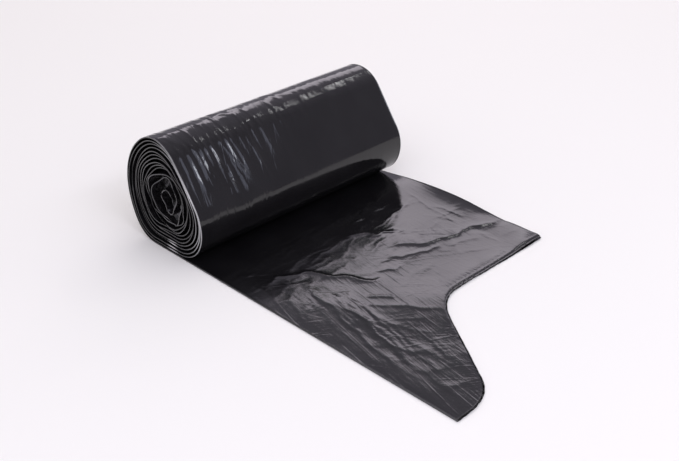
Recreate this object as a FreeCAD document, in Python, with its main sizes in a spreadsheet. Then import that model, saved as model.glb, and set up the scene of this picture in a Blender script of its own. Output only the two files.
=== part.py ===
import FreeCAD, Part
import math
import os
import Sketcher

# Roll of black bin bags with its leading bag partly unrolled. All sizes are in millimetres.
# The web is one long folded film: bag after bag, joined by perforations and wound without a core.
# Frame: X runs along the roll, from the end that faces the viewer (-X) to the far end (+X).
# The leading bag lies on the floor towards -Y, the roll's back is towards +Y, and Z is up.
# The origin is on the floor, in the roll's flat spot, at the middle of the web's width.

SIZES = {
    # the web and the roll
    "web_width": (240.0, "width of the folded web, and so the length of the roll"),
    "film_stack": (1.0, "thickness of the folded plies with the air between them"),
    "flat_back": (19.0, "from the origin to the back end of the flat spot"),
    "back_corner_radius": (27.0, "radius of the lower corner at the back"),
    "back_radius": (62.5, "radius of the back"),
    "crown_radius": (32.0, "radius of the crown"),
    "front_corner_radius": (34.5, "radius of the lower corner at the front"),
    "back_low_angle": (31.0, "degrees below level where the back starts"),
    "back_high_angle": (56.0, "degrees above level where the back ends"),
    "front_lean": (36.0, "degrees above level that the flattened front faces"),
    # the winding
    "turn_count": (10.0, "turns outside the crumpled middle"),
    "core_radius": (24.5, "radius of the crumpled middle"),
    "core_back": (2.0, "from the origin back to the crumpled middle's centre"),
    "core_height": (47.0, "height of the crumpled middle's centre"),
    "slack_swing": (0.08, "how far a turn wanders between its neighbours"),
    "inner_ripple": (0.9, "height of the ripples in the innermost turn"),
    "telescope": (6.0, "how far the inner turns have slid along the roll"),
    "edge_wander": (0.5, "how far the edges of the turns miss each other"),
    # the leading bag
    "flat_reach": (40.0, "from the roll's middle to where the film starts to ripple"),
    "valley_reach": (212.0, "from the roll's middle to the straight part of the mouth"),
    "lobe_length": (101.0, "from the straight part of the mouth to the tie flap's end"),
    "lobe_shoulder": (14.0, "straight end of the tie flap, before its rounded corner"),
    "lobe_radius": (40.0, "radius of the tie flap's rounded corner"),
    "valley_radius": (45.0, "radius where the tie flap runs into the mouth"),
    "flank_angle": (56.0, "degrees that the tie flap's side leans from the mouth"),
    "ripple_height": (7.5, "height of the tallest ripple, at the far edge"),
    "ripple_width": (32.0, "half width of that ripple"),
    "fold_height": (4.0, "height of the long soft folds"),
    "fold_width": (15.0, "half width of the long soft folds"),
}

# The long soft folds of the leading bag, each from one point to another.
# A point is a share of the web's width, from the near edge, and a share of the way from the
# roll's middle to the straight part of the mouth.
SOFT_FOLDS = [
    ((1.00, 0.84), (0.72, 0.74)),
    ((0.72, 0.74), (0.52, 0.63)),
    ((0.14, 0.47), (0.27, 0.56)),
    ((0.27, 0.56), (0.42, 0.78)),
    ((0.20, 0.60), (0.07, 1.20)),
    ((0.22, 0.84), (0.42, 1.08)),
]

# Where the film goes in the crumpled middle, after the last full turn.
# Each point is a share of the middle's half width, from its centre.
CORE_FOLDS = [
    (0.74, -0.74),
    (0.86, -0.15),
    (0.76, 0.44),
    (0.42, 0.82),
    (-0.06, 0.92),
    (-0.52, 0.72),
    (-0.80, 0.24),
    (-0.78, -0.30),
    (-0.52, -0.76),
    (-0.08, -0.88),
    (0.34, -0.68),
    (0.60, -0.28),
    (0.56, 0.22),
    (0.30, 0.58),
    (-0.10, 0.64),
    (-0.46, 0.38),
    (-0.50, -0.08),
    (-0.26, -0.46),
    (0.08, -0.44),
    (0.22, -0.12),
    (0.14, 0.24),
    (-0.10, 0.32),
    (-0.20, 0.08),
    (-0.14, -0.16),
]

STEPS_PER_FACE = 4
SURFACE_STEP = 20.0
DIE_MARGIN = 20.0


def make_sheet(doc):
    """The spreadsheet of driving dimensions, with an alias for each cell."""
    sheet = doc.addObject("Spreadsheet::Sheet", "sizes")
    for row, (name, (value, meaning)) in enumerate(SIZES.items(), start=1):
        sheet.set(f"A{row}", meaning)
        sheet.set(f"B{row}", str(value))
        sheet.setAlias(f"B{row}", name)
    doc.recompute()
    return sheet


def outline_arcs(size):
    """Arcs of the resting roll, from the flat spot up the back: radius, first and last angle, steps."""
    back_low, back_high = math.radians(-size.back_low_angle), math.radians(size.back_high_angle)
    front = math.pi - math.radians(size.front_lean)
    return (
        (size.back_corner_radius, -math.pi / 2, back_low, 2),
        (size.back_radius, back_low, back_high, 5),
        (size.crown_radius, back_high, front, 3),
        (size.front_corner_radius, front, 3 * math.pi / 2, 5),
    )


def flattened_front(size):
    """Length of the straight front, which takes up the height that the arcs leave."""
    rise = sum(
        radius * (math.sin(last) - math.sin(first))
        for radius, first, last, _ in outline_arcs(size)
    )
    return rise / math.cos(math.radians(size.front_lean))


def slumped_outline(size):
    """Points (y, z) of the resting roll's outline, from the back end of its flat spot to the front."""
    y, z = size.flat_back, 0.0
    points = [(y, z)]
    for index, (radius, first, last, steps) in enumerate(outline_arcs(size)):
        if index == 3:
            length = flattened_front(size)
            lean = math.radians(size.front_lean)
            for half in (0.5, 1.0):
                across, down = half * length * math.sin(lean), half * length * math.cos(lean)
                points.append((y - across, z - down))
            y, z = points[-1]
        for step in range(1, steps + 1):
            angle = first + (last - first) * step / steps
            across = radius * (math.cos(angle) - math.cos(first))
            up = radius * (math.sin(angle) - math.sin(first))
            points.append((y + across, z + up))
        y, z = points[-1]
    return points


def wound_path(size):
    """Middle of the film from the back of the flat spot inwards: (y, z) and its slide along X."""
    outline = slumped_outline(size)
    turns = int(round(size.turn_count))
    path = []
    for turn in range(turns):
        for step, (y, z) in enumerate(outline):
            share = turn + step / len(outline)
            away_y, away_z = y - size.core_back, z - size.core_height
            distance = math.hypot(away_y, away_z)
            slack = size.slack_swing * math.sin(math.pi * share) * min(1.0, share)
            ripple = size.inner_ripple * (share / turns) ** 3
            ripple *= math.sin(5 * math.atan2(away_z, away_y))
            inwards = (distance - size.core_radius) * share / turns
            scale = (distance - size.film_stack / 2 - inwards + slack + ripple) / distance
            slide = size.telescope * (share / turns) ** 2
            slide += size.edge_wander * min(1.0, share) * math.sin(2.6 * share + step / 3)
            path.append((size.core_back + away_y * scale, size.core_height + away_z * scale, slide))
    for y, z in CORE_FOLDS:
        y, z = y * size.core_radius, z * size.core_radius
        path.append((size.core_back + y, size.core_height + z, size.telescope))
    path[0] = (size.flat_back, size.film_stack / 2, 0.0)
    return path


def offset_rails(path, thickness):
    """The film's two faces: the path moved half a thickness to each side of itself."""
    outer, inner, along = [], [], [0.0]
    last = len(path) - 1
    for i, (y, z, slide) in enumerate(path):
        before, after = path[max(i - 1, 0)], path[min(i + 1, last)]
        run, rise = after[0] - before[0], after[1] - before[1]
        if i == 0:
            rise = 0.0
        length = math.hypot(run, rise)
        across, up = rise / length * thickness / 2, -run / length * thickness / 2
        outer.append((slide, y + across, z + up))
        inner.append((slide, y - across, z - up))
        if i:
            along.append(along[-1] + math.hypot(y - path[i - 1][0], z - path[i - 1][1]))
    return outer, inner, along


def rail_edges(points, along, start_x):
    """A smooth line through the points, moved along X, as the edges of the faces beside it."""
    places = [FreeCAD.Vector(start_x + slide, y, z) for slide, y, z in points]
    end = places[-1] - places[-2]
    end.normalize()
    curve = Part.BSplineCurve()
    curve.interpolate(
        Points=places,
        Parameters=along,
        InitialTangent=FreeCAD.Vector(0, 1, 0),
        FinalTangent=end,
        Scale=False,
    )
    marks = along[:-STEPS_PER_FACE:STEPS_PER_FACE] + along[-1:]
    return [curve.toShape(start, stop) for start, stop in zip(marks[:-1], marks[1:])]


def end_cap(rails, index):
    """The flat face that closes the film between the same ends of four rails."""
    corners = [rail[index].Vertexes[index].Point for rail in rails]
    return Part.Face(Part.makePolygon(corners + corners[:1]))


def wound_turns_shape(size):
    """The turns of the roll: one film wound inwards, its edges sliding along X as it goes."""
    outer, inner, along = offset_rails(wound_path(size), size.film_stack)
    near, far = -size.web_width / 2, size.web_width / 2
    rails = [
        rail_edges(points, along, end) for points, end in
        ((outer, near), (outer, far), (inner, far), (inner, near))
    ]
    faces = [end_cap(rails, 0), end_cap(rails, -1)]
    for first, second in zip(rails, rails[1:] + rails[:1]):
        faces += [Part.makeRuledSurface(*edges) for edges in zip(first, second)]
    shell = Part.makeShell(faces)
    shell.sewShape()
    solid = Part.makeSolid(shell)
    if solid.Volume < 0:
        solid.reverse()
    return solid


def smooth_step(value):
    """0 below 0, 1 above 1, and a smooth rise between."""
    value = min(1.0, max(0.0, value))
    return value * value * (3 - 2 * value)


def fold_profile(u, v, start, end, half_width):
    """Height from 0 to 1 of a soft fold at (u, v), full along the line from start to end."""
    run, rise = end[0] - start[0], end[1] - start[1]
    share = ((u - start[0]) * run + (v - start[1]) * rise) / (run * run + rise * rise)
    share = min(1.0, max(0.0, share))
    away = math.hypot(u - start[0] - share * run, v - start[1] - share * rise)
    return math.exp(-((away / half_width) ** 2))


def film_lift(size, u, v):
    """How far the leading bag's underside is off the floor, u from its near edge, v from the roll."""
    reach = size.valley_reach
    crest = ((size.web_width, 0.36 * reach), (size.web_width, 0.55 * reach))
    lift = size.ripple_height * fold_profile(u, v, *crest, size.ripple_width)
    for start, end in SOFT_FOLDS:
        start = (start[0] * size.web_width, start[1] * reach)
        end = (end[0] * size.web_width, end[1] * reach)
        height = size.fold_height * fold_profile(u, v, start, end, size.fold_width)
        lift = max(lift, height)
    from_edge = smooth_step(u / (2 * size.fold_width))
    from_roll = smooth_step((v - size.flat_reach) / (2 * size.fold_width) - 0.5)
    return lift * from_edge * from_roll


def even_knots(spans):
    """Knots, multiplicities and pole places, 0 to 1, of a clamped cubic with even spans."""
    knots = [i / spans for i in range(spans + 1)]
    mults = [4] + [1] * (spans - 1) + [4]
    padded = [0.0] * 3 + knots + [1.0] * 3
    places = [sum(padded[i + 1:i + 4]) / 3 for i in range(spans + 3)]
    return knots, mults, places


def leader_surface_shape(size):
    """The rippled underside of the leading bag, past the tie flap's end."""
    length = size.valley_reach + size.lobe_length + DIE_MARGIN / 2 - size.flat_reach
    across = even_knots(int(math.ceil(size.web_width / SURFACE_STEP)))
    along = even_knots(int(math.ceil(length / SURFACE_STEP)))
    poles = []
    for share in across[2]:
        u = size.web_width * share
        line = []
        for run in along[2]:
            v = size.flat_reach + length * run
            line.append(FreeCAD.Vector(u - size.web_width / 2, -v, film_lift(size, u, v)))
        poles.append(line)
    surface = Part.BSplineSurface()
    surface.buildFromPolesMultsKnots(
        poles, across[1], along[1], across[0], along[0], False, False, 3, 3
    )
    return surface.toShape()


def bind(feature, prop, expression):
    """Ties a property to the sheet."""
    feature.setExpression(prop, expression)


def origin_plane(body, role):
    """One of a body's own origin planes."""
    return next(plane for plane in body.Origin.OriginFeatures if plane.Role == role)


def add_distance(sketch, kind, parts, value, expression):
    """A driving constraint whose value comes from the sheet."""
    index = sketch.addConstraint(Sketcher.Constraint(kind, *parts, value))
    sketch.setExpression(f"Constraints[{index}]", expression)


def draw_mouth(sketch, size):
    """The film that the wavy cut takes away: the outline of the mouth, closed round its far side."""
    flank = math.radians(size.flank_angle)
    near, far = -size.web_width / 2, size.web_width / 2
    tip, valley = -(size.valley_reach + size.lobe_length), -size.valley_reach
    shoulder = near + size.lobe_shoulder
    lobe_centre = FreeCAD.Vector(shoulder, tip + size.lobe_radius)
    lobe_end = lobe_centre + FreeCAD.Vector(math.sin(flank), -math.cos(flank)) * size.lobe_radius
    drop = valley - lobe_end.y - size.valley_radius * (1 - math.cos(flank))
    flank_end = lobe_end + FreeCAD.Vector(drop / math.tan(flank), drop)
    valley_start = flank_end.x + size.valley_radius * math.sin(flank)
    valley_centre = FreeCAD.Vector(valley_start, valley - size.valley_radius)
    outside = [
        FreeCAD.Vector(far + DIE_MARGIN, valley),
        FreeCAD.Vector(far + DIE_MARGIN, tip - DIE_MARGIN),
        FreeCAD.Vector(near - DIE_MARGIN, tip - DIE_MARGIN),
        FreeCAD.Vector(near - DIE_MARGIN, tip),
    ]
    up = FreeCAD.Vector(0, 0, 1)
    lobe = Part.Circle(lobe_centre, up, size.lobe_radius)
    bowl = Part.Circle(valley_centre, up, size.valley_radius)
    pieces = [
        Part.LineSegment(outside[3], FreeCAD.Vector(shoulder, tip)),
        Part.ArcOfCircle(lobe, -math.pi / 2, flank - math.pi / 2),
        Part.LineSegment(lobe_end, flank_end),
        Part.ArcOfCircle(bowl, math.pi / 2, math.pi / 2 + flank),
        Part.LineSegment(FreeCAD.Vector(valley_start, valley), outside[0]),
        Part.LineSegment(outside[0], outside[1]),
        Part.LineSegment(outside[1], outside[2]),
        Part.LineSegment(outside[2], outside[3]),
    ]
    end_line, lobe_arc, side_line, bowl_arc, mouth_line, right, bottom, left = (
        sketch.addGeometry(piece, False) for piece in pieces
    )
    first, last = 1, 2
    for joint in (
        (end_line, last, lobe_arc, first),
        (lobe_arc, last, side_line, first),
        (side_line, last, bowl_arc, last),
        (bowl_arc, first, mouth_line, first),
    ):
        sketch.addConstraint(Sketcher.Constraint("Tangent", *joint))
    for joint in (
        (mouth_line, last, right, first),
        (right, last, bottom, first),
        (bottom, last, left, first),
        (left, last, end_line, first),
    ):
        sketch.addConstraint(Sketcher.Constraint("Coincident", *joint))
    for line in (end_line, mouth_line, bottom):
        sketch.addConstraint(Sketcher.Constraint("Horizontal", line))
    for line in (right, left):
        sketch.addConstraint(Sketcher.Constraint("Vertical", line))
    axis = -1
    origin = (axis, first)
    half_web = "sizes.web_width / 2"
    tip_reach = "(sizes.valley_reach + sizes.lobe_length)"
    margin = DIE_MARGIN
    add_distance(sketch, "Radius", (lobe_arc,), size.lobe_radius, "sizes.lobe_radius")
    add_distance(sketch, "Radius", (bowl_arc,), size.valley_radius, "sizes.valley_radius")
    add_distance(sketch, "Angle", (side_line,), flank, "sizes.flank_angle * 1 deg")
    add_distance(
        sketch, "DistanceX", (end_line, last, *origin), -shoulder, f"{half_web} - sizes.lobe_shoulder"
    )
    add_distance(sketch, "DistanceY", (end_line, last, *origin), -tip, tip_reach)
    add_distance(sketch, "DistanceY", (mouth_line, last, *origin), -valley, "sizes.valley_reach")
    add_distance(
        sketch, "DistanceX", (*origin, right, first), far + DIE_MARGIN, f"{half_web} + {margin}"
    )
    add_distance(
        sketch, "DistanceX", (left, last, *origin), DIE_MARGIN - near, f"{half_web} + {margin}"
    )
    add_distance(
        sketch, "DistanceY", (left, first, *origin), DIE_MARGIN - tip, f"{tip_reach} + {margin}"
    )


def make_mouth_die(doc, size):
    """The body that cuts the wavy mouth, as tall as the film can ripple."""
    body = doc.addObject("PartDesign::Body", "mouth_die")
    sketch = body.newObject("Sketcher::SketchObject", "mouth_outline")
    sketch.AttachmentSupport = [(origin_plane(body, "XY_Plane"), "")]
    sketch.MapMode = "FlatFace"
    draw_mouth(sketch, size)
    doc.recompute()
    pad = body.newObject("PartDesign::Pad", "mouth_waste")
    pad.Profile = sketch
    pad.Midplane = True
    bind(pad, "Length", "4 * (sizes.ripple_height + sizes.film_stack)")
    doc.recompute()
    return body


def make_resting_flat(doc, size):
    """The stretch of film that the roll stands on, from behind the flat spot to the first ripple."""
    flat = doc.addObject("Part::Box", "resting_flat")
    bind(flat, "Length", "sizes.web_width")
    bind(flat, "Width", "sizes.flat_reach + sizes.flat_back")
    bind(flat, "Height", "sizes.film_stack")
    flat.Placement = FreeCAD.Placement(
        FreeCAD.Vector(-size.web_width / 2, -size.flat_reach, 0), FreeCAD.Rotation()
    )
    bind(flat, "Placement.Base.x", "-sizes.web_width / 2")
    bind(flat, "Placement.Base.y", "-sizes.flat_reach")
    doc.recompute()
    return flat


def make_leader(doc, size):
    """The leading bag: a rippled sheet of even thickness with the wavy mouth cut out of it."""
    surface = doc.addObject("Part::Feature", "leader_underside")
    surface.Shape = leader_surface_shape(size)
    sheet = doc.addObject("Part::Extrusion", "leader_sheet")
    sheet.Base = surface
    sheet.DirMode = "Custom"
    sheet.Dir = FreeCAD.Vector(0, 0, 1)
    bind(sheet, "LengthFwd", "sizes.film_stack")
    leader = doc.addObject("Part::Cut", "leader")
    leader.Base = sheet
    leader.Tool = make_mouth_die(doc, size)
    doc.recompute()
    return leader


def make_bag_roll(doc, size):
    """The whole web as one solid: the wound turns, the film under them and the leading bag."""
    turns = doc.addObject("Part::Feature", "wound_turns")
    turns.Shape = wound_turns_shape(size)
    roll = doc.addObject("Part::MultiFuse", "bag_roll")
    roll.Shapes = [turns, make_resting_flat(doc, size), make_leader(doc, size)]
    roll.Refine = False
    roll.Label = "bag_roll"
    doc.recompute()
    return roll


def check(doc, parts):
    """Stops before anything is written if a feature failed or a sub-part isn't one valid solid."""
    for item in doc.Objects:
        if {"Invalid", "Error"} & set(item.State):
            raise RuntimeError(f"{item.Label} failed: {item.State}")
    for part in parts:
        shape = part.Shape
        if shape.isNull() or not shape.isValid() or len(shape.Solids) != 1:
            raise RuntimeError(f"{part.Label} isn't one valid solid")


def main():
    doc = FreeCAD.newDocument("bag_roll")
    size = make_sheet(doc)
    parts = [make_bag_roll(doc, size)]
    check(doc, parts)
    os.makedirs("parts", exist_ok=True)
    for part in parts:
        part.Shape.exportStep(os.path.join("parts", f"{part.Label}.step"))
        print(part.Label, "volume", round(part.Shape.Volume), "box", part.Shape.BoundBox)


main()
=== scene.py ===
import math

import bpy
import numpy as np
from mathutils import Matrix, Vector


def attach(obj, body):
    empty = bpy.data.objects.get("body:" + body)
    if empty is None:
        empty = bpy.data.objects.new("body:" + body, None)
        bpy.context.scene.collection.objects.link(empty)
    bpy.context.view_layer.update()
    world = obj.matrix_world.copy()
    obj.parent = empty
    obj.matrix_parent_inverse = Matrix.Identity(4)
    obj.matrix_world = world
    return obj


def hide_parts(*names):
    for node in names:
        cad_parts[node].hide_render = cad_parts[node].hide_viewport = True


# Roll of black bin bags with its leading bag partly unrolled.
# Lengths here are in millimetres, until a mesh is made from them in metres.
# X runs along the roll, the leading bag lies towards -Y, and Z is up.

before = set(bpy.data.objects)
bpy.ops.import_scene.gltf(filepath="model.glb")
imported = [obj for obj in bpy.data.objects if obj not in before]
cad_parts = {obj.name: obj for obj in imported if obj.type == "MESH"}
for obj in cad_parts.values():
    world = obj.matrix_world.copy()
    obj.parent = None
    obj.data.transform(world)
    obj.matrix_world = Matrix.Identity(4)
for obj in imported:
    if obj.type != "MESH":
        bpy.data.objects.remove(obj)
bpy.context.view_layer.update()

MM = 0.001
SEED = 7

# sizes that the solids have too
WEB_WIDTH = 240.0
FILM_STACK = 1.0
FLAT_BACK = 19.0
BACK_CORNER_RADIUS = 27.0
BACK_RADIUS = 62.5
CROWN_RADIUS = 32.0
FRONT_CORNER_RADIUS = 34.5
BACK_LOW_ANGLE = 31.0
BACK_HIGH_ANGLE = 56.0
FRONT_LEAN = 36.0
TURN_COUNT = 10
CORE_RADIUS = 24.5
CORE_BACK = 2.0
CORE_HEIGHT = 47.0
INNER_RIPPLE = 0.9
TELESCOPE = 6.0
VALLEY_REACH = 212.0
LOBE_LENGTH = 101.0
LOBE_SHOULDER = 14.0
LOBE_RADIUS = 40.0
VALLEY_RADIUS = 45.0
FLANK_ANGLE = math.radians(56)

# the film as it is drawn: thicknesses, and how much thicker the folded edges are
PLY = 0.55
LEADING_PLY = 0.35
CRUMPLE_PLY = 0.3
FOLD_BEAD = 1.6

# places round the roll are polar angles about an axis at this height, from this angle on
ROUND_HEIGHT = 48.0
ROUND_START = -95.0
# width of the web that creases of the outer turn start in
CREASE_SPAN = WEB_WIDTH - 2
# how deep the crumpled film is set into the roll's ends
CRUMPLE_INSET = 13.0
# film coordinate of the leading bag at the roll, larger than any of the outer turn's
BAG_ALONG = 600.0
# width over which the low roll along the mouth rises
MOUTH_ROLL = 1.8

# where the folded film goes in the middle of the roll, as shares of the core's radius
CORE_FOLDS = [
    (0.74, -0.74), (0.86, -0.15), (0.76, 0.44), (0.42, 0.82), (-0.06, 0.92), (-0.52, 0.72),
    (-0.80, 0.24), (-0.78, -0.30), (-0.52, -0.76), (-0.08, -0.88), (0.34, -0.68),
    (0.60, -0.28), (0.56, 0.22), (0.30, 0.58), (-0.10, 0.64), (-0.46, 0.38), (-0.50, -0.08),
    (-0.26, -0.46), (0.08, -0.44), (0.22, -0.12), (0.14, 0.24), (-0.10, 0.32),
    (-0.20, 0.08), (-0.14, -0.16),
]


# ---- outline and winding


def slumped_outline():
    """Points of the resting roll's outline, from the flat spot up the back and down the front."""
    lean = math.radians(FRONT_LEAN)
    arcs = (
        (BACK_CORNER_RADIUS, -math.pi / 2, math.radians(-BACK_LOW_ANGLE)),
        (BACK_RADIUS, math.radians(-BACK_LOW_ANGLE), math.radians(BACK_HIGH_ANGLE)),
        (CROWN_RADIUS, math.radians(BACK_HIGH_ANGLE), math.pi - lean),
        (FRONT_CORNER_RADIUS, math.pi - lean, 3 * math.pi / 2),
    )
    rise = sum(radius * (math.sin(last) - math.sin(first)) for radius, first, last in arcs)
    front = rise / math.cos(lean)
    points = [(FLAT_BACK, 0.0)]
    for radius, first, last in arcs:
        y, z = points[-1]
        if radius == FRONT_CORNER_RADIUS:
            # the straight front comes before the last arc
            for share in np.linspace(0, 1, 16)[1:]:
                down = share * front
                points.append((y - down * math.sin(lean), z - down * math.cos(lean)))
            y, z = points[-1]
        for angle in np.linspace(first, last, 32)[1:]:
            across = radius * (math.cos(angle) - math.cos(first))
            up = radius * (math.sin(angle) - math.sin(first))
            points.append((y + across, z + up))
    return np.array(points)


def wound_rows(turns):
    """Middle of the film from the flat spot inwards: rows of y, z, slide, share, place round.
    The share counts turns, and the place round is a polar angle in degrees."""
    outline = slumped_outline()
    closed = np.vstack([outline, outline[:1]])
    reach = np.concatenate([[0], np.cumsum(np.hypot(*np.diff(closed, axis=0).T))])
    rows = []
    for turn in range(turns):
        for i, (y, z) in enumerate(outline):
            share = turn + reach[i] / reach[-1]
            away_y, away_z = y - CORE_BACK, z - CORE_HEIGHT
            distance = math.hypot(away_y, away_z)
            ripple = INNER_RIPPLE * (share / TURN_COUNT) ** 3
            ripple *= math.sin(5 * math.atan2(away_z, away_y))
            inwards = (distance - CORE_RADIUS) * share / TURN_COUNT
            scale = (distance - FILM_STACK / 2 - inwards + ripple) / distance
            slide = TELESCOPE * (share / TURN_COUNT) ** 2
            y_in, z_in = CORE_BACK + away_y * scale, CORE_HEIGHT + away_z * scale
            polar = math.degrees(math.atan2(z - ROUND_HEIGHT, y))
            rows.append((y_in, z_in, slide, share, (polar - ROUND_START) % 360 + ROUND_START))
    return rows


def core_rows():
    """Where the film goes in the crumpled middle, in the same rows."""
    return [
        (CORE_BACK + y * CORE_RADIUS, CORE_HEIGHT + z * CORE_RADIUS, TELESCOPE,
         TURN_COUNT + (i + 1) / 12, 0.0)
        for i, (y, z) in enumerate(CORE_FOLDS)
    ]


def even_line(rows, spacing, smooth=False):
    """The rows joined by a line and sampled evenly along it, and how far along each one is.
    A smooth line is a Catmull-Rom curve through the rows."""
    rows = np.array(rows)
    if smooth:
        padded = np.vstack([2 * rows[0] - rows[1], rows, 2 * rows[-1] - rows[-2]])
        t = np.linspace(0, 1, 16, endpoint=False)[:, None]
        fine = [
            0.5 * (2 * b + (c - a) * t + (2 * a - 5 * b + 4 * c - d) * t * t
                   + (3 * b - a - 3 * c + d) * t ** 3)
            for a, b, c, d in zip(padded, padded[1:], padded[2:], padded[3:])
        ]
        rows = np.vstack(fine + [rows[-1:]])
    reach = np.concatenate([[0], np.cumsum(np.hypot(*np.diff(rows[:, :2], axis=0).T))])
    even = np.linspace(0, reach[-1], int(reach[-1] / spacing) + 1)
    return np.stack([np.interp(even, reach, column) for column in rows.T], axis=1), even


# ---- meshes


def add_mesh(name, vertices, faces, coords):
    """A smooth-shaded mesh object from points in millimetres, with its film coordinates as UVs."""
    mesh = bpy.data.meshes.new(name)
    mesh.from_pydata((vertices * MM).tolist(), [], faces.tolist())
    mesh.update()
    layer = mesh.uv_layers.new(name="film")
    loops = np.empty(len(mesh.loops), dtype=np.int32)
    mesh.loops.foreach_get("vertex_index", loops)
    layer.data.foreach_set("uv", (coords[loops] * MM).astype(np.float32).ravel())
    mesh.polygons.foreach_set("use_smooth", np.ones(len(mesh.polygons), dtype=bool))
    thing = bpy.data.objects.new(name, mesh)
    bpy.context.scene.collection.objects.link(thing)
    return thing


def grid_faces(rows, columns, start=0, flip=False):
    """Quads of a grid of points."""
    index = start + np.arange(rows * columns).reshape(rows, columns)
    quads = np.stack([index[:-1, :-1], index[1:, :-1], index[1:, 1:], index[:-1, 1:]], axis=-1)
    quads = quads.reshape(-1, 4)
    return quads[:, ::-1] if flip else quads


def grid_normals(points):
    """Unit normals of a grid of points."""
    along = np.gradient(points, axis=0)
    across = np.gradient(points, axis=1)
    normal = np.cross(along, across)
    return normal / np.maximum(np.linalg.norm(normal, axis=-1, keepdims=True), 1e-9)


def add_film(name, points, coords, thickness, edge_highlight):
    """A thin closed film, with rounded edges, whose middle is the grid of points. The last argument
    says how much painted highlight each row's folded edges get."""
    rows, columns = points.shape[:2]
    normal = grid_normals(points)
    shift = normal * thickness / 2
    shift[:, [0, -1]] *= FOLD_BEAD
    count = rows * columns
    index = np.arange(count).reshape(rows, columns)
    rim = np.concatenate([index[0, :-1], index[:-1, -1], index[-1, :0:-1], index[:0:-1, 0]])
    flat = points.reshape(-1, 3)
    along = np.roll(flat[rim], -1, axis=0) - np.roll(flat[rim], 1, axis=0)
    outwards = np.cross(along, normal.reshape(-1, 3)[rim])
    outwards /= np.maximum(np.linalg.norm(outwards, axis=1, keepdims=True), 1e-9)
    middle = flat[rim].mean(axis=0)
    if np.sum(outwards * (flat[rim] - middle)) < 0:
        outwards = -outwards
    edge = flat[rim] + outwards * thickness / 2
    vertices = np.vstack([(points + shift).reshape(-1, 3), (points - shift).reshape(-1, 3), edge])
    around = len(rim)
    ahead = np.roll(np.arange(around), -1)
    side = np.arange(around) + 2 * count
    upper = np.stack([rim, side, side[ahead], rim[ahead]], axis=1)
    lower = np.stack([rim + count, rim[ahead] + count, side[ahead], side], axis=1)
    faces = np.vstack([
        grid_faces(rows, columns), grid_faces(rows, columns, count, flip=True), upper, lower
    ])
    flat_coords = coords.reshape(-1, 2)
    film = add_mesh(name, vertices, faces, np.vstack([flat_coords, flat_coords, flat_coords[rim]]))
    edge_highlight = np.broadcast_to(np.reshape(edge_highlight, (-1, 1)), (rows, columns)).ravel()
    # the painted edge highlight, kept on every point for the material
    layer = film.data.attributes.new("edge_highlight", "FLOAT", "POINT")
    layer.data.foreach_set("value", np.concatenate([edge_highlight, edge_highlight, edge_highlight[rim]]).astype(np.float32))
    return film


def falloff(value):
    """1 at 0, smoothly to 0 at 1 and beyond."""
    value = np.clip(np.abs(value), 0, 1)
    return (1 - value * value) ** 2


def cusp_lines(u, t, lines):
    """Height of many creases. Each is u, t of its middle, heading, length, height and width."""
    out = np.zeros_like(u)
    for middle_u, middle_t, heading, length, height, width in lines:
        reach = length / 2 + 8 * width
        near = (np.abs(u - middle_u) < reach) & (np.abs(t - middle_t) < reach)
        if not near.any():
            continue
        du, dt = u[near] - middle_u, t[near] - middle_t
        along = du * math.cos(heading) + dt * math.sin(heading)
        away = dt * math.cos(heading) - du * math.sin(heading)
        away = away + 0.02 * length * np.sin(3 * along / length + middle_u)
        side = np.where(away > 0, width, 2.2 * width)
        out[near] += height * falloff(along / (length / 2)) * np.exp(-np.abs(away) / side)
    return out


# ---- the wound roll


# wrinkles round the roll: distance from the near end, first and last place round, width, height,
# and how far they lean along the roll for each degree round it
ROLL_WRINKLES = [
    (8, 100, 180, 1.6, 0.6, 0.00), (17.5, 100, 166, 1.8, 1.2, 0.01), (25, 96, 176, 1.5, 0.5, 0.03),
    (34, 94, 142, 1.7, 1.0, 0.07), (40, 116, 178, 1.5, 0.5, 0.04), (47, 122, 186, 1.9, 1.2, -0.02),
    (57, 92, 156, 1.7, 0.9, 0.08), (64, 116, 186, 1.7, 0.8, 0.05), (70, 92, 150, 1.5, 0.5, 0.07),
    (78, 96, 182, 1.8, 0.9, 0.10), (95, 96, 160, 1.8, 0.6, 0.06), (108, 96, 160, 2.4, 0.3, 0.04),
    (128, 90, 136, 2.2, 0.3, 0.02), (150, 84, 124, 2.0, 0.3, -0.04), (176, 86, 120, 2.0, 0.3, 0.03),
    (205, 86, 150, 2.4, 0.25, 0.02), (30, -30, 60, 2.0, 0.5, 0.05), (72, -50, 40, 2.0, 0.6, -0.04),
    (120, -40, 70, 2.2, 0.4, 0.03), (168, -60, 30, 2.2, 0.5, -0.05), (212, -20, 70, 2.0, 0.5, 0.04),
]


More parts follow.
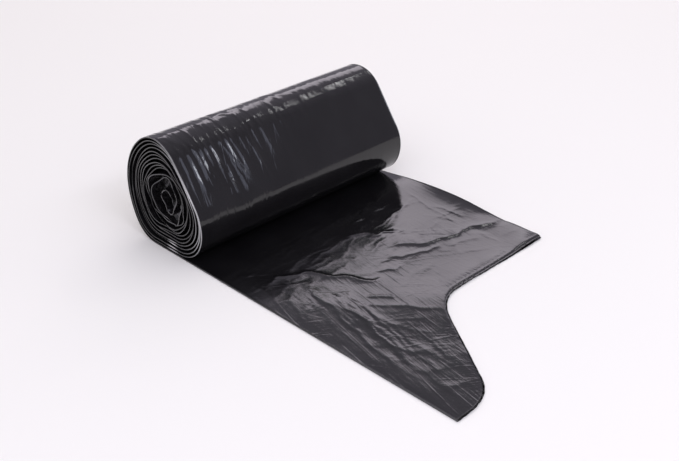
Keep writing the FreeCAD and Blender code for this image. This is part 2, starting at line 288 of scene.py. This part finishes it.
def roll_wrinkles(across, place):
    """How far the outer turn stands out, at places across the web and round the roll."""
    across, place = np.broadcast_arrays(across, place)
    out = np.zeros(across.shape)
    for start, first, last, width, height, lean in ROLL_WRINKLES:
        middle, reach = (first + last) / 2, (last - first) / 2
        away = (across - start - lean * (place - middle)) / width
        side = np.where(away > 0, 1.0, 1.5)
        out += height * np.exp(-np.abs(away) / side) * falloff((place - middle) / reach)
    # fine tension wrinkles all round, denser towards the near end
    chance = np.random.default_rng(SEED)
    lines = []
    for _ in range(150):
        start = CREASE_SPAN * chance.random() ** 1.2 + 1
        lines.append((
            start, chance.uniform(-80, 262), math.pi / 2 + chance.normal(0, 0.12),
            chance.uniform(18, 60), chance.uniform(0.05, 0.22) * (1.25 - start / 230),
            chance.uniform(0.7, 1.5),
        ))
    # short slanting ripples along the crown
    for _ in range(110):
        start = CREASE_SPAN * chance.random()
        lines.append((
            start, chance.normal(90 - start / 20, 12 - start / 40), chance.normal(0.5, 0.35),
            chance.uniform(14, 40), chance.uniform(0.10, 0.34) * (1.2 - start / 240),
            chance.uniform(0.8, 1.6),
        ))
    # tight wrinkles over the crown
    for _ in range(130):
        start = CREASE_SPAN * chance.random()
        lines.append((
            start, chance.normal(90, 16), math.pi / 2 - chance.normal(0.14, 0.16),
            chance.uniform(12, 44), chance.uniform(0.06, 0.22) * (1.15 - start / 260),
            chance.uniform(0.6, 1.1),
        ))
    # sharp lines from the crown down the front, near the handled end
    for _ in range(34):
        start = chance.uniform(6, 132)
        lines.append((
            start, chance.normal(124, 15), math.pi / 2 - chance.normal(0.09, 0.05),
            chance.uniform(45, 100), chance.uniform(0.16, 0.46) * (1.2 - start / 170),
            chance.uniform(0.7, 1.0),
        ))
    out += cusp_lines(across, place, lines)
    # broad hollows where a hand pressed the roll
    near = np.clip(1.25 - across / 130, 0.1, 1) * falloff((place - 150) / 55)
    out += 0.5 * near * np.sin(across / 6.0 + np.radians(place) * 1.2)
    out += 0.5 * near * np.sin(across / 11.0 - np.radians(place) * 2.2 + 1)
    out += 0.2 * np.sin(across / 37 + np.radians(place) * 1.5)
    back = falloff((place - 10) / 70)
    out += 0.35 * back * np.sin(across / 17 + np.radians(place) * 2.4) * np.sin(across / 29 + 2)
    return out


def ribbon_grid(line, stations, wobble):
    """Points of a film that follows a line of y, z and slide, at stations across the web."""
    run = np.gradient(line[:, :2], axis=0)
    run /= np.linalg.norm(run, axis=1, keepdims=True)
    points = np.zeros((len(line), len(stations), 3))
    points[..., 0] = stations[None, :] - WEB_WIDTH / 2 + line[:, 2, None]
    points[..., 1] = line[:, 0, None] + run[:, 1, None] * wobble
    points[..., 2] = line[:, 1, None] - run[:, 0, None] * wobble
    return points


def turn_edges(share, phase):
    """How far the near and far edges of a turn miss their place."""
    near = 0.7 * np.sin(2.1 * share + phase) + 0.5 * np.sin(7.3 * share + 2 * phase)
    near += 0.3 * np.sin(23 * share + phase)
    far = 0.8 * np.sin(2.6 * share + 1 + phase) + 0.5 * np.sin(8.1 * share + phase)
    return near, far


def painted_rim_highlight(line):
    """How much painted highlight each row's folded edges get: most on the outer turns, down the
    roll's front, where the light catches them.
    """
    share, place = line[:, 3], line[:, 4]
    outer = np.clip((4.6 - share) / 1.2, 0, 1)
    front = falloff((place - 158) / 85)
    uneven = 0.75 + 0.25 * np.sin(share * 31) * np.sin(share * 13 + 1)
    return (0.05 + 0.95 * outer * front) * uneven


def film_coords(stations, reach):
    """Places on the film, across and along it."""
    return np.stack(np.broadcast_arrays(stations[None, :], reach[:, None]), axis=-1)


def make_outer_turn():
    """The outermost turn, with its wrinkles, from under the roll up its back and down its front."""
    rows = wound_rows(2)
    line, reach = even_line([row for row in rows if row[3] < 1.25], 2.0)
    # narrow steps where the near end is wrinkled, wider ones beyond
    stations = np.concatenate([np.linspace(0, 115, 150), np.linspace(115, WEB_WIDTH, 92)[1:]])
    share, place = line[:, 3, None], line[:, 4, None]
    wobble = roll_wrinkles(stations[None, :], place) - 0.5
    lifted = np.clip((line[:, 1, None] - 3) / 25, 0, 1)
    covered = np.clip((1.12 - share) / 0.12, 0, 1)
    points = ribbon_grid(line, stations, 0.25 + wobble * lifted * covered)
    near, far = turn_edges(line[:, 3], 0.4)
    blend = stations / WEB_WIDTH
    points[..., 0] += 0.5 * (near[:, None] * (1 - blend) ** 8 + far[:, None] * blend ** 8)
    film = add_film("outer_turn", points, film_coords(stations, reach), PLY, painted_rim_highlight(line))
    return film


def make_inner_turns():
    """The turns inside the outermost one, and the folded film in the middle."""
    ends = np.array([0, 0.8, 2, 4, 8, 15, 30])
    stations = np.concatenate([ends, [WEB_WIDTH / 2], WEB_WIDTH - ends[::-1]])
    away = np.minimum(stations, WEB_WIDTH - stations)[None, :]
    blend = stations[None, :] / WEB_WIDTH
    films = []
    inner = [row for row in wound_rows(TURN_COUNT) if row[3] > 1.0]
    layers = (
        ("inner_turns_1", inner, 1.3, False),
        ("inner_turns_2", inner[-1:] + core_rows(), 2.2, True),
    )
    for name, rows, phase, crumpled in layers:
        line, reach = even_line(rows, 1.6 if crumpled else 2.4, smooth=crumpled)
        share = line[:, 3, None]
        depth = np.clip((share - 4) / 6, 0, 1)
        wobble = 0.15 * np.sin(share * 19 + phase) * np.cos(away / 6 + share * 5)
        wobble = wobble + 0.5 * depth * np.sin(share * 43 + away / 4 + phase)
        # they shrink away from the outermost turn, inside the roll's ends
        wobble = wobble - 2.0 * np.clip((away - 3) / 12, 0, 1) * np.clip(4 - share, 0, 1)
        if crumpled:
            wobble = wobble + 1.8 * np.sin(share * 29 + away / 5) * np.sin(away / 7 + share * 11)
        points = ribbon_grid(line, stations, wobble)
        near, far = turn_edges(share, phase)
        near = near + depth * (1 - 1.6 * np.sin(share * 17 + phase))
        near = near + (2.0 * np.sin(share * 9) if crumpled else 0.0)
        # the near end is almost flush: most of the turns' slide is taken back there
        recess = 0.5 + 1.6 * np.clip(share / 3, 0, 1)
        pulled_back = recess - line[:, 2, None] * 0.75
        points[..., 0] += (near + pulled_back) * (1 - blend) ** 8 + (far - recess) * blend ** 8
        # painted highlight on the folded edges: a little on the crumpled film, more on the outer
        # turns down the front
        edge_highlight = np.full(len(line), 0.08) if crumpled else painted_rim_highlight(line)
        film = add_film(name, points, film_coords(stations, reach), PLY, edge_highlight)
        films.append(film)
    return films


def make_core_crumples():
    """Crumpled film that closes the middle of the roll at each end, set a little way in."""
    chance = np.random.default_rng(SEED + 1)
    films = []
    for number, end in enumerate((-1, 1)):
        lines = [
            (chance.uniform(-26, 26), chance.uniform(-26, 26), chance.uniform(0, math.pi),
             chance.uniform(8, 34), chance.uniform(0.4, 1.8) * chance.choice([-1, 1]),
             chance.uniform(0.8, 2.4))
            for _ in range(160)
        ]
        radius = np.linspace(0.02, 1, 34)[:, None] * (CORE_RADIUS - 1.5)
        turn = np.linspace(0, 2 * math.pi, 120)[None, :]
        y, z = radius * np.cos(turn), radius * np.sin(turn)
        depth = cusp_lines(y + 3 * np.sin(z / 5), z + 3 * np.sin(y / 6), lines)
        middle = end * (WEB_WIDTH / 2 - CRUMPLE_INSET) + TELESCOPE * (end + 1) / 2
        x = middle + 5 * np.tanh(depth / 5)
        points = np.stack([x, y + CORE_BACK, z + CORE_HEIGHT], axis=-1)
        # coordinates outside the web's width, so that the whole crumpled film takes the edges'
        # painted highlight, here a faint painted grey sheen
        coords = np.stack([y - 100, z], axis=-1)
        films.append(add_film(f"core_crumple_{number + 1}", points, coords, CRUMPLE_PLY, 0.07))
    return films


# ---- the leading bag


def mouth_reach(u):
    """How far the mouth is from the roll's middle, at places across the web."""
    tip = VALLEY_REACH + LOBE_LENGTH
    sin_f, cos_f = math.sin(FLANK_ANGLE), math.cos(FLANK_ANGLE)
    lobe_u, lobe_t = LOBE_SHOULDER + LOBE_RADIUS * sin_f, tip - LOBE_RADIUS * (1 - cos_f)
    drop = lobe_t - VALLEY_REACH - VALLEY_RADIUS * (1 - cos_f)
    flank_u = lobe_u + drop / math.tan(FLANK_ANGLE)
    valley_u = flank_u + VALLEY_RADIUS * sin_f
    out = np.full_like(u, VALLEY_REACH)
    bowl = (u >= flank_u) & (u < valley_u)
    back = valley_u - u[bowl]
    out[bowl] = VALLEY_REACH + VALLEY_RADIUS - np.sqrt(VALLEY_RADIUS ** 2 - back ** 2)
    flank = (u >= lobe_u) & (u < flank_u)
    out[flank] = lobe_t - (u[flank] - lobe_u) * math.tan(FLANK_ANGLE)
    lobe = (u >= LOBE_SHOULDER) & (u < lobe_u)
    run = u[lobe] - LOBE_SHOULDER
    out[lobe] = tip - LOBE_RADIUS + np.sqrt(LOBE_RADIUS ** 2 - run ** 2)
    out[u < LOBE_SHOULDER] = tip
    return out


# folds of the leading bag: points across and along the web, height, width each side
BAG_FOLDS = [
    ([(242, 173), (206, 160), (183, 157), (160, 151), (146, 136), (128, 130)], 0.9, 12.0, 2.0),
    ([(16, 106), (34, 98), (46, 106), (58, 111), (66, 128), (76, 140), (84, 158), (98, 159)],
     1.0, 4.0, 1.5),
    ([(41, 120), (35, 161), (25, 196), (17, 233), (12, 260)], 0.42, 1.3, 3.0),
    ([(52, 133), (42, 169), (39, 197), (28, 228)], 0.42, 2.6, 1.3),
    ([(46, 150), (39, 190), (31, 222), (22, 262)], 0.36, 1.2, 2.4),
    ([(43, 170), (37, 204), (25, 242)], 0.3, 1.3, 3.0),
    ([(58, 140), (52, 176), (44, 214), (36, 246)], 0.36, 1.2, 2.4),
    ([(63, 169), (71, 177), (82, 187)], 0.6, 1.6, 3.0),
    ([(45, 172), (61, 186), (78, 205), (94, 227)], 0.4, 2.0, 5.0),
    ([(221, 66), (213, 98), (208, 127), (206, 155)], 0.12, 0.8, 1.4),
    ([(209, 172), (206, 193)], 0.12, 0.8, 1.4),
    ([(170, 168), (188, 170), (205, 176)], 0.12, 1.6, 6.0),
    ([(118, 140), (132, 150), (150, 158), (172, 160)], 0.35, 1.8, 4.0),
    ([(98, 150), (112, 160), (124, 158)], 0.35, 1.8, 4.0),
    ([(132, 108), (150, 112), (160, 121)], 0.6, 1.8, 6.0),
    ([(120, 92), (136, 100), (141, 112)], 0.45, 1.8, 7.0),
    ([(30, 180), (52, 214), (66, 244)], 0.2, 1.8, 5.0),
    ([(14, 205), (34, 236), (48, 262)], 0.2, 1.8, 5.0),
    ([(20, 262), (38, 272), (50, 270)], 0.15, 1.8, 4.0),
]


def fold_height(u, t, points, height, left, right):
    """A sharp-topped fold along a line of points, fading at its ends, with a width each side."""
    lengths = [math.hypot(b[0] - a[0], b[1] - a[1]) for a, b in zip(points, points[1:])]
    total, done = sum(lengths), 0.0
    nearest = np.full(u.shape, 1e9)
    out = np.zeros(u.shape)
    for (a, b), length in zip(zip(points, points[1:]), lengths):
        run, rise = (b[0] - a[0]) / length, (b[1] - a[1]) / length
        along = np.clip((u - a[0]) * run + (t - a[1]) * rise, 0, length)
        off_u, off_t = u - a[0] - along * run, t - a[1] - along * rise
        away = np.hypot(off_u, off_t)
        side = np.where(run * off_t - rise * off_u > 0, left, right)
        place = (done + along) / total
        fade = np.clip(5 * place, 0, 1) * np.clip(5 * (1 - place), 0, 1)
        closer = away < nearest
        out = np.where(closer, fade * np.exp(-away / side), out)
        nearest = np.minimum(nearest, away)
        done += length
    return height * out


def soft_fold(u, t, start, end, width):
    """A rounded fold, full along the line from start to end."""
    run, rise = end[0] - start[0], end[1] - start[1]
    share = np.clip(((u - start[0]) * run + (t - start[1]) * rise) / (run ** 2 + rise ** 2), 0, 1)
    away = np.hypot(u - start[0] - share * run, t - start[1] - share * rise)
    return np.exp(-(away / width) ** 2)


# creases of the leading bag: how many, then ranges of u and t, mean and spread of their heading in
# degrees, and ranges of length, height and width
BAG_CREASES = (
    # across the tie flap
    (60, (5, 110), (150, 300), (38, 14), (12, 42), (0.04, 0.12), (1.0, 1.8)),
    # where the film comes out from under the roll
    (90, (0, 200), (45, 135), (-12, 18), (20, 75), (0.06, 0.22), (1.0, 2.0)),
    # long fine lines beside the roll
    (50, (0, 200), (42, 100), (-8, 9), (40, 110), (0.10, 0.26), (0.8, 1.3)),
    # the smoother half
    (40, (90, 238), (110, 212), (20, 45), (20, 80), (0.04, 0.14), (1.0, 2.0)),
)


def scattered_creases():
    """Fine creases of the leading bag, in the directions that each part of it was pulled."""
    chance = np.random.default_rng(SEED + 2)
    lines = []
    # down the tie flap, towards the near edge
    for _ in range(110):
        t = chance.uniform(105, 300)
        lines.append((
            chance.uniform(4, 40 + (t - 100) * 0.15), t, math.radians(chance.normal(106, 7)),
            chance.uniform(35, 110), chance.uniform(0.05, 0.20), chance.uniform(1.0, 2.0),
        ))
    for count, across, along, heading, length, height, width in BAG_CREASES:
        for _ in range(count):
            lines.append((
                chance.uniform(*across), chance.uniform(*along),
                math.radians(chance.normal(*heading)),
                chance.uniform(*length), chance.uniform(*height), chance.uniform(*width),
            ))
    return lines


def bag_lift(u, t):
    """Height of the leading bag off the floor at places across and along the web."""
    lift = 2.8 * soft_fold(u, t, (240, 72), (240, 120), 48)
    # the far edge curls up
    curl = 9 + 7 * np.clip((125 - t) / 60, 0, 1)
    lift = lift + 3.2 * np.exp((u - WEB_WIDTH) / curl) * falloff((t - 105) / 72)
    lift = np.maximum(lift, 1.6 * soft_fold(u, t, (240, 186), (225, 205), 16))
    lift = np.maximum(lift, 0.9 * soft_fold(u, t, (150, 150), (200, 160), 28))
    lift = np.maximum(lift, 0.9 * soft_fold(u, t, (60, 190), (95, 225), 30))
    # the folds waver a little
    warp_u = u + 0.9 * np.sin(t / 5 + u / 9) + 0.5 * np.sin(t / 2.3 - u / 4)
    warp_t = t + 0.9 * np.sin(u / 5 - t / 11) + 0.5 * np.sin(u / 2.1 + t / 6)
    for points, height, left, right in BAG_FOLDS:
        lift = lift + fold_height(warp_u, warp_t, points, height, left, right)
    lift = lift + cusp_lines(warp_u, warp_t, scattered_creases())
    lift = lift + 0.07 * (1 + np.sin(u / 11 + t / 31)) * (1 + np.sin(t / 17 - u / 27))
    lift = lift + 0.22 * (1 + np.sin(u / 33 - t / 27))
    # flat at the near edge and at the roll
    from_edge = np.clip(u / 16, 0, 1)
    from_roll = np.clip((t - 25) / 30, 0, 1)
    return lift * from_edge * (2 - from_edge) * from_roll * (2 - from_roll)


def make_leading_bag():
    """The leading bag: its upper and lower plies, from under the roll to the wavy mouth."""
    plies = []
    for name, columns, rows, height, share_of_lift, longer in (
        ("leading_bag", 212, 226, 0.75, 1.0, 0.0),
        ("leading_bag_lower_ply", 81, 91, 0.2, 0.6, 1.2),
    ):
        u = np.linspace(0, WEB_WIDTH, columns)
        # torn perforations leave small nibs along the mouth
        nibs = 0.4 * np.sin(u * 2.3) * (np.sin(u * 0.9) > 0.1)
        mouth = mouth_reach(np.clip(u - longer, 0, None)) + nibs
        mouth = mouth + longer * np.clip((u - 150) / 60, 0, 1)
        start = -FLAT_BACK
        t = start + np.linspace(0, 1, rows)[:, None] * (mouth - start)[None, :]
        u = np.broadcast_to(u[None, :], t.shape)
        # a low roll along the mouth, where the perforations were torn
        from_mouth = (mouth - t) / MOUTH_ROLL
        roll = 2.0 * np.exp(-from_mouth / 4) * (1 - np.exp(-from_mouth))
        roll = roll * np.clip((u - 70) / 50, 0, 1)
        lift = (bag_lift(u, t) + roll) * share_of_lift + height
        points = np.stack([u - WEB_WIDTH / 2, -t, lift], axis=-1)
        coords = np.stack([u, t + BAG_ALONG], axis=-1)
        # a little painted highlight on the plies' folded edges
        ply = add_film(name, points, coords, LEADING_PLY, 0.08)
        plies.append(ply)
    return plies


# ---- materials


def colour(code):
    """A hex colour as linear red, green, blue and alpha."""
    parts = [int(code[i:i + 2], 16) / 255 for i in (1, 3, 5)]
    linear = [c / 12.92 if c <= 0.04045 else ((c + 0.055) / 1.055) ** 2.4 for c in parts]
    return (*linear, 1.0)


def add_node(tree, kind, settings=None, **inputs):
    """A node with its settings, and its inputs set to values or linked to other nodes' outputs.
    An input is given by its name, with _ for a space, or by its number, as i0 or i1."""
    node = tree.nodes.new(kind)
    for key, value in (settings or {}).items():
        setattr(node, key, value)
    for key, value in inputs.items():
        socket = node.inputs[int(key[1:])] if key[0] == "i" and key[1:].isdigit() else None
        socket = socket or node.inputs[key.replace("_", " ")]
        if isinstance(value, bpy.types.NodeSocket):
            tree.links.new(value, socket)
        else:
            socket.default_value = value
    return node


def math_node(tree, operation, first, second):
    """The output of a math node on two values."""
    node = add_node(tree, "ShaderNodeMath", {"operation": operation}, i0=first, i1=second)
    return node.outputs[0]


def map_range(tree, value, first, last, low, high):
    """The output of a node that takes a value from one range to another and stays within it."""
    return add_node(tree, "ShaderNodeMapRange", Value=value, From_Min=first, From_Max=last,
                    To_Min=low, To_Max=high).outputs[0]


def drawn_out(tree, uv, turn, across, along):
    """Film coordinates drawn out: their direction in degrees from the winding direction, and
    their width and length in metres."""
    return add_node(
        tree, "ShaderNodeMapping", {"vector_type": "TEXTURE"},
        Vector=uv, Rotation=(0.0, 0.0, math.radians(turn)), Scale=(across, along, 1.0),
    ).outputs[0]


def streaks(tree, uv, turn, across, along, detail):
    """Noise drawn out into streaks."""
    place = drawn_out(tree, uv, turn, across, along)
    return add_node(
        tree, "ShaderNodeTexNoise", Vector=place, Scale=1.0, Detail=detail, Roughness=0.55
    ).outputs[0]


def crease_lines(tree, uv, turn, across, along, width, height):
    """Sharp straight lines along the borders of drawn-out cells. The height is from the lines
    down, so it is below 0, and their width is a share of a cell."""
    cells = drawn_out(tree, uv, turn, across, along)
    edge = add_node(
        tree, "ShaderNodeTexVoronoi", {"feature": "DISTANCE_TO_EDGE"}, Vector=cells, Scale=1.0
    ).outputs["Distance"]
    return math_node(tree, "MULTIPLY", math_node(tree, "MINIMUM", edge, width), height)


def blown_polythene():
    """Black low-density polythene blown into film: glossy, with draw lines along the web, so its
    highlights break up into streaks, and sharp crackle lines in patches where it was pressed."""
    material = bpy.data.materials.new("blown_polythene")
    material.use_nodes = True
    tree = material.node_tree
    tree.nodes.clear()
    uv = add_node(tree, "ShaderNodeUVMap", {"uv_map": "film"}).outputs[0]
    across, along, _ = add_node(tree, "ShaderNodeSeparateXYZ", Vector=uv).outputs
    # the half with the tie flap is more wrinkled
    handled = map_range(tree, across, 0.09, 0.16, 1.0, 0.3)
    # the leading bag, beyond this far along the film, was pulled harder than the outer turn
    bag_from, bag_to = 0.54, 0.58
    pulled_height = map_range(tree, along, bag_from, bag_to, 0.07, 0.15)
    crossed_height = map_range(tree, along, bag_from, bag_to, 0.03, 0.08)
    crush_height = map_range(tree, along, bag_from, bag_to, -0.3, -0.6)
    patches = streaks(tree, uv, 0, 0.03, 0.04, 1.0)
    pulled_here = map_range(tree, patches, 0.42, 0.6, 0.15, 1.0)
    crossed_here = map_range(tree, patches, 0.56, 0.4, 0.1, 1.0)
    # heights in millimetres: draw lines, pulled streaks, streaks across them
    draw = math_node(tree, "MULTIPLY", streaks(tree, uv, 0, 0.0016, 0.07, 2.0), 0.06)
    pulled = math_node(tree, "MULTIPLY", streaks(tree, uv, 13, 0.0015, 0.060, 3.0), pulled_height)
    crossed = streaks(tree, uv, -55, 0.0018, 0.022, 3.0)
    crossed = math_node(tree, "MULTIPLY", crossed, crossed_height)
    # sharp lines: long ones as pulled, short ones where the film was crushed
    pulled_line = crease_lines(tree, uv, 13, 0.011, 0.120, 0.06, -1.3)
    crushed_line = crease_lines(tree, uv, -50, 0.012, 0.032, 0.07, crush_height)
    pulled = math_node(tree, "ADD", pulled, pulled_line)
    crossed = math_node(tree, "ADD", crossed, crushed_line)
    height = math_node(tree, "MULTIPLY", pulled, pulled_here)
    height = math_node(tree, "ADD", height, math_node(tree, "MULTIPLY", crossed, crossed_here))
    height = math_node(tree, "ADD", math_node(tree, "MULTIPLY", height, handled), draw)
    bump = add_node(tree, "ShaderNodeBump", Height=height, Strength=1.0, Distance=0.001).outputs[0]
    shade = add_node(tree, "ShaderNodeValToRGB", i0=patches)
    shade.color_ramp.elements[0].color = colour("#0c0b0d")
    shade.color_ramp.elements[1].color = colour("#181719")
    # the folds at both edges of the web get a painted highlight: they are mixed towards near-white
    # in their last 0.8 mm
    half_width = WEB_WIDTH / 2 * MM
    from_middle = math_node(tree, "SUBTRACT", across, half_width)
    from_middle = math_node(tree, "ABSOLUTE", from_middle, 0.0)
    # per-point strength of the painted edge highlight
    edge_highlight = add_node(tree, "ShaderNodeAttribute", {"attribute_name": "edge_highlight"}).outputs["Fac"]
    rim_highlight_mask = map_range(tree, from_middle, 0.1192, 0.1199, 0.0, edge_highlight)
    # painted highlight: the base colour is mixed towards near-white at the folded edges
    paint = add_node(tree, "ShaderNodeMix", {"data_type": "RGBA"}, i0=rim_highlight_mask,
                     i6=shade.outputs[0], i7=colour("#f0eff4")).outputs[2]
    rough = map_range(tree, patches, 0.3, 0.7, 0.07, 0.15)
    shader = add_node(
        tree, "ShaderNodeBsdfPrincipled", Base_Color=paint, Roughness=rough, Normal=bump
    )
    shader.inputs["IOR"].default_value = 1.51
    add_node(tree, "ShaderNodeOutputMaterial", Surface=shader.outputs[0])
    return material


def white_laminate():
    """Matt white laminate of the table top: pale, with no shine, so the shadow stays soft."""
    material = bpy.data.materials.new("white_laminate")
    material.use_nodes = True
    shader = material.node_tree.nodes["Principled BSDF"]
    shader.inputs["Base Color"].default_value = colour("#f5f1f1")
    shader.inputs["Roughness"].default_value = 0.7
    return material


# ---- studio


def aim(heading, elevation):
    """Unit vector at a heading from +X and an angle above level."""
    heading, elevation = math.radians(heading), math.radians(elevation)
    flat = math.cos(elevation)
    return Vector((math.cos(heading) * flat, math.sin(heading) * flat, math.sin(elevation)))


def add_strip_lamp(name, first, last, distance, width, power, tint="#ffffff"):
    """A long narrow lamp between two directions, turned to the roll."""
    start, stop = aim(*first) * distance, aim(*last) * distance
    data = bpy.data.lights.new(name, "AREA")
    data.shape = "RECTANGLE"
    data.size, data.size_y = (stop - start).length, width
    data.energy = power
    data.color = colour(tint)[:3]
    lamp = bpy.data.objects.new(name, data)
    back = ((start + stop) / 2).normalized()
    long = (stop - start).normalized()
    long = (long - back * long.dot(back)).normalized()
    basis = Matrix((long, back.cross(long), back)).transposed()
    lamp.matrix_world = Matrix.Translation((start + stop) / 2) @ basis.to_4x4()
    bpy.context.scene.collection.objects.link(lamp)


def make_studio():
    """The table top, the room's even light and the four lamps that the film mirrors."""
    half = 8.0
    mesh = bpy.data.meshes.new("table_top")
    mesh.from_pydata([(-half, -half, 0), (half, -half, 0), (half, half, 0), (-half, half, 0)],
                     [], [(0, 1, 2, 3)])
    floor = bpy.data.objects.new("table_top", mesh)
    floor.location.z = -0.0003
    bpy.context.scene.collection.objects.link(floor)
    floor.data.materials.append(white_laminate())

    # what the film mirrors: a dim room, brighter behind the roll
    world = bpy.data.worlds.new("room")
    bpy.context.scene.world = world
    world.use_nodes = True
    tree = world.node_tree
    tree.nodes.clear()
    path = add_node(tree, "ShaderNodeLightPath")
    sky = add_node(tree, "ShaderNodeTexCoord").outputs["Generated"]
    side = add_node(tree, "ShaderNodeVectorMath", {"operation": "DOT_PRODUCT"},
                    i0=sky, i1=tuple(aim(42, 48))).outputs["Value"]
    glow = map_range(tree, side, 0.62, 0.98, 0.42, 0.66)
    lit = add_node(tree, "ShaderNodeBackground", Color=colour("#fdfbfb"), Strength=0.83)
    seen = add_node(tree, "ShaderNodeBackground", Color=colour("#f4edff"), Strength=glow)
    mirrored = add_node(tree, "ShaderNodeMixShader", i0=path.outputs["Is Glossy Ray"],
                        i1=lit.outputs[0], i2=seen.outputs[0])
    wall = add_node(tree, "ShaderNodeBackground", Color=colour("#faf7fb"), Strength=1.0)
    mix = add_node(tree, "ShaderNodeMixShader", i0=path.outputs["Is Camera Ray"],
                   i1=mirrored.outputs[0], i2=wall.outputs[0])
    add_node(tree, "ShaderNodeOutputWorld", Surface=mix.outputs[0])

    add_strip_lamp("window", (56, 29), (18, 29), 2.2, 0.48, 3.8, "#fff6ff")
    add_strip_lamp("ceiling_lamp", (18, 46), (-8, 51), 2.2, 0.025, 1.0)
    add_strip_lamp("left_window", (-62, 37), (-166, 34), 2.4, 0.6, 9.0, "#dbe2fc")
    add_strip_lamp("left_lamp", (-82, 39), (-112, 38), 2.4, 0.26, 8.0, "#f2f5ff")


# ---- camera


# fitted to the photograph: place in metres, heading, pitch and roll in degrees, pixels
CAMERA_PLACE = (-0.5335, -0.6107, 0.4288)
CAMERA_ANGLES = (44.518, 29.51, 0.163)
FOCAL_PIXELS = 992.46
FRAME_PIXELS = 679.0
SENSOR_WIDTH = 36.0


def make_camera():
    """Camera at the photograph's place."""
    data = bpy.data.cameras.new("camera")
    data.sensor_width = SENSOR_WIDTH
    data.lens = FOCAL_PIXELS * SENSOR_WIDTH / FRAME_PIXELS
    data.clip_start = 0.01
    camera = bpy.data.objects.new("camera", data)
    heading, pitch, roll = (math.radians(angle) for angle in CAMERA_ANGLES)
    ahead = Vector((math.cos(heading) * math.cos(pitch), math.sin(heading) * math.cos(pitch),
                    -math.sin(pitch)))
    right = Vector((math.sin(heading), -math.cos(heading), 0))
    up = right.cross(ahead)
    turned = right * math.cos(roll) + up * math.sin(roll)
    lifted = up * math.cos(roll) - right * math.sin(roll)
    basis = Matrix((turned, lifted, -ahead)).transposed()
    camera.matrix_world = Matrix.Translation(CAMERA_PLACE) @ basis.to_4x4()
    bpy.context.scene.collection.objects.link(camera)
    bpy.context.scene.camera = camera


def main():
    """The camera, the studio and the film, and what each piece of film stands for."""
    make_camera()
    make_studio()
    film = blown_polythene()
    upper, lower = make_leading_bag()
    for piece in (make_outer_turn(), *make_inner_turns(), *make_core_crumples(), upper, lower):
        piece.data.materials.append(film)
        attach(piece, "root")
        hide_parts("bag_roll")
    bpy.context.scene.view_settings.view_transform = "Standard"


main()
